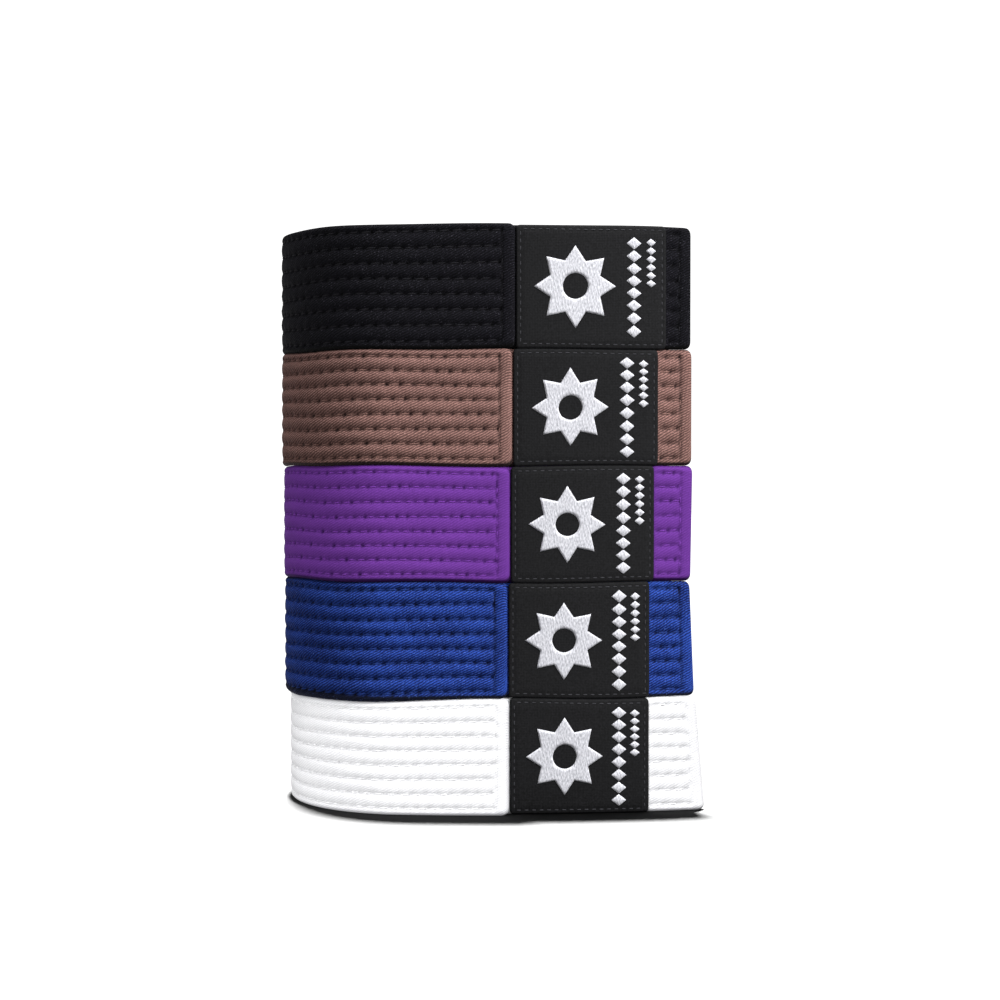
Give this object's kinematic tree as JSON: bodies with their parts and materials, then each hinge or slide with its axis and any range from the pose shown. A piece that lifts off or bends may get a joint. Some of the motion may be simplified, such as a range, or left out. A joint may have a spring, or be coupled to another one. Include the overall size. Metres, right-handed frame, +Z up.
{
  "type": "stack of rolled martial arts belts",
  "caption": "Stack of quilted cotton martial arts belts, each rolled flat from its fold, with both ends free at the front and a sewn black label on one.",
  "frame": {"origin": "on the surface the stack stands on, under the middle of its bounding box", "axes": "+Z up through the stack, +X to the right as seen from the front along the row of labels, +Y from the labelled front to the back"},
  "size_m": [0.1504, 0.0946, 0.2037],
  "materials": {
    "white_twill": "white cotton twill, matt, woven on a slant",
    "white_thread": "white sewing thread, slightly shiny",
    "blue_twill": "blue cotton twill, matt, woven on a slant",
    "blue_thread": "blue sewing thread, slightly shiny",
    "purple_twill": "purple cotton twill, matt, woven on a slant",
    "purple_thread": "purple sewing thread, slightly shiny",
    "brown_twill": "brown cotton twill, matt, woven on a slant",
    "brown_thread": "brown sewing thread, slightly shiny",
    "black_twill": "black cotton twill, matt, woven on a slant",
    "black_thread": "black sewing thread, slightly shiny",
    "core_cotton": "unbleached cotton wadding, matt",
    "label_cloth": "black plain-weave polyester, fine, matt",
    "label_thread": "black polyester sewing thread, slightly shiny",
    "embroidery_thread": "pale grey rayon embroidery thread, satin stitched"
  },
  "bodies": {
    "white_roll": {"white_sleeve_roll": "white_twill", "white_core_roll": "core_cotton"},
    "white_outer_end": {"white_sleeve_outer_end": "white_twill", "white_core_outer_end": "core_cotton", "white_stitching_outer_end": "white_thread"},
    "white_label_end": {"white_sleeve_label_end": "white_twill", "white_core_label_end": "core_cotton", "white_stitching_label_end": "white_thread", "white_label": "label_cloth", "white_label_seam": "label_thread", "white_emblem": "embroidery_thread", "white_emblem_bars": "embroidery_thread"},
    "blue_roll": {"blue_sleeve_roll": "blue_twill", "blue_core_roll": "core_cotton"},
    "blue_outer_end": {"blue_sleeve_outer_end": "blue_twill", "blue_core_outer_end": "core_cotton", "blue_stitching_outer_end": "blue_thread"},
    "blue_label_end": {"blue_sleeve_label_end": "blue_twill", "blue_core_label_end": "core_cotton", "blue_stitching_label_end": "blue_thread", "blue_label": "label_cloth", "blue_label_seam": "label_thread", "blue_emblem": "embroidery_thread", "blue_emblem_bars": "embroidery_thread"},
    "purple_roll": {"purple_sleeve_roll": "purple_twill", "purple_core_roll": "core_cotton"},
    "purple_outer_end": {"purple_sleeve_outer_end": "purple_twill", "purple_core_outer_end": "core_cotton", "purple_stitching_outer_end": "purple_thread"},
    "purple_label_end": {"purple_sleeve_label_end": "purple_twill", "purple_core_label_end": "core_cotton", "purple_stitching_label_end": "purple_thread", "purple_label": "label_cloth", "purple_label_seam": "label_thread", "purple_emblem": "embroidery_thread", "purple_emblem_bars": "embroidery_thread"},
    "brown_roll": {"brown_sleeve_roll": "brown_twill", "brown_core_roll": "core_cotton"},
    "brown_outer_end": {"brown_sleeve_outer_end": "brown_twill", "brown_core_outer_end": "core_cotton", "brown_stitching_outer_end": "brown_thread"},
    "brown_label_end": {"brown_sleeve_label_end": "brown_twill", "brown_core_label_end": "core_cotton", "brown_stitching_label_end": "brown_thread", "brown_label": "label_cloth", "brown_label_seam": "label_thread", "brown_emblem": "embroidery_thread", "brown_emblem_bars": "embroidery_thread"},
    "black_roll": {"black_sleeve_roll": "black_twill", "black_core_roll": "core_cotton"},
    "black_outer_end": {"black_sleeve_outer_end": "black_twill", "black_core_outer_end": "core_cotton", "black_stitching_outer_end": "black_thread"},
    "black_label_end": {"black_sleeve_label_end": "black_twill", "black_core_label_end": "core_cotton", "black_stitching_label_end": "black_thread", "black_label": "label_cloth", "black_label_seam": "label_thread", "black_emblem": "embroidery_thread", "black_emblem_bars": "embroidery_thread"}
  },
  "joints": [
    {"name": "white_outer_peel", "type": "hinge", "parent": "white_roll", "child": "white_outer_end", "pos_m": [-0.02301, -0.04566, 0.02], "axis": [0, 0, -1], "range_deg": [0, 70]},
    {"name": "white_label_peel", "type": "hinge", "parent": "white_roll", "child": "white_label_end", "pos_m": [0.00818, -0.04339, 0.02], "axis": [0, 0, -1], "range_deg": [0, 70]},
    {"name": "blue_lift", "type": "slide", "parent": "white_roll", "child": "blue_roll", "axis": [0, 0, 1], "range_m": [0, 0.06]},
    {"name": "blue_outer_peel", "type": "hinge", "parent": "blue_roll", "child": "blue_outer_end", "pos_m": [-0.02511, -0.04566, 0.0603], "axis": [0, 0, -1], "range_deg": [0, 70]},
    {"name": "blue_label_peel", "type": "hinge", "parent": "blue_roll", "child": "blue_label_end", "pos_m": [0.00769, -0.04336, 0.0603], "axis": [0, 0, -1], "range_deg": [0, 70]},
    {"name": "purple_lift", "type": "slide", "parent": "blue_roll", "child": "purple_roll", "axis": [0, 0, 1], "range_m": [0, 0.06]},
    {"name": "purple_outer_peel", "type": "hinge", "parent": "purple_roll", "child": "purple_outer_end", "pos_m": [-0.02531, -0.04566, 0.1006], "axis": [0, 0, -1], "range_deg": [0, 70]},
    {"name": "purple_label_peel", "type": "hinge", "parent": "purple_roll", "child": "purple_label_end", "pos_m": [0.0085, -0.04333, 0.1006], "axis": [0, 0, -1], "range_deg": [0, 70]},
    {"name": "brown_lift", "type": "slide", "parent": "purple_roll", "child": "brown_roll", "axis": [0, 0, 1], "range_m": [0, 0.06]},
    {"name": "brown_outer_peel", "type": "hinge", "parent": "brown_roll", "child": "brown_outer_end", "pos_m": [-0.02601, -0.04566, 0.1409], "axis": [0, 0, -1], "range_deg": [0, 70]},
    {"name": "brown_label_peel", "type": "hinge", "parent": "brown_roll", "child": "brown_label_end", "pos_m": [0.00932, -0.04329, 0.1409], "axis": [0, 0, -1], "range_deg": [0, 70]},
    {"name": "black_lift", "type": "slide", "parent": "brown_roll", "child": "black_roll", "axis": [0, 0, 1], "range_m": [0, 0.06]},
    {"name": "black_outer_peel", "type": "hinge", "parent": "black_roll", "child": "black_outer_end", "pos_m": [-0.02601, -0.04566, 0.18245], "axis": [0, 0, -1], "range_deg": [0, 70]},
    {"name": "black_label_peel", "type": "hinge", "parent": "black_roll", "child": "black_label_end", "pos_m": [0.01032, -0.04326, 0.18245], "axis": [0, 0, -1], "range_deg": [0, 70]}
  ]
}
